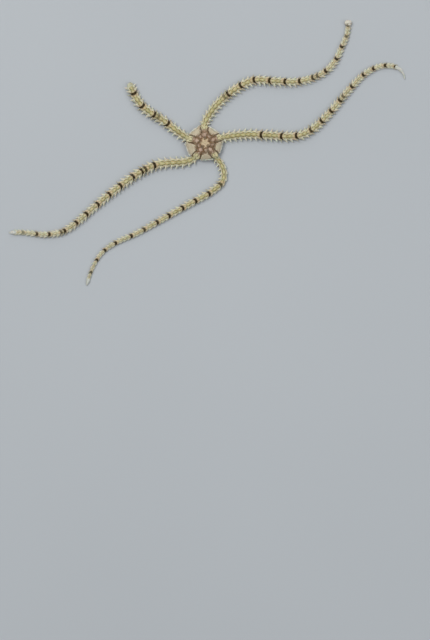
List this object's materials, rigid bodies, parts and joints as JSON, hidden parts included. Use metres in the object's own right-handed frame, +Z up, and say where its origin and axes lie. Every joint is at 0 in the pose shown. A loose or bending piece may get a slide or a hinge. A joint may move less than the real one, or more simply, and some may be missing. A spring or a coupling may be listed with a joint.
{
  "type": "brittle star",
  "caption": "Life-size still model of a brittle star lying mouth down: an angular disc with jaws under it, long slender spiny arms in loose curves, and a short broken arm.",
  "frame": {"origin": "under the middle of the star's box in plan, on the floor that it lies on", "axes": "+X along the star's longest extent, towards the curled tip of the right arm; +Y towards the blunt end of the back arm; +Z up, out of the back of the disc"},
  "size_m": [0.1741, 0.1167, 0.0042],
  "materials": {
    "disc": "dull limy skin, cream with a reddish-brown net",
    "mouth": "dull, warm yellow",
    "arm": "limy plates, straw yellow with dark brown bands, slight sheen",
    "arm_end": "limy plates, pale, slight sheen"
  },
  "bodies": {
    "root": {"disc": "disc", "jaw_1": "mouth", "jaw_2": "mouth", "jaw_3": "mouth", "jaw_4": "mouth", "jaw_5": "mouth", "arm_back_base": "arm", "arm_back_inner": "arm", "arm_back_middle": "arm", "arm_back_outer": "arm", "arm_back_tip": "arm_end", "arm_short_base": "arm", "arm_short_end": "arm", "arm_left_base": "arm", "arm_left_inner": "arm", "arm_left_middle": "arm", "arm_left_outer": "arm", "arm_left_tip": "arm_end", "arm_front_base": "arm", "arm_front_inner": "arm", "arm_front_middle": "arm", "arm_front_outer": "arm", "arm_front_tip": "arm_end", "arm_right_base": "arm", "arm_right_inner": "arm", "arm_right_middle": "arm", "arm_right_outer": "arm", "arm_right_tip": "arm_end"}
  },
  "joints": []
}
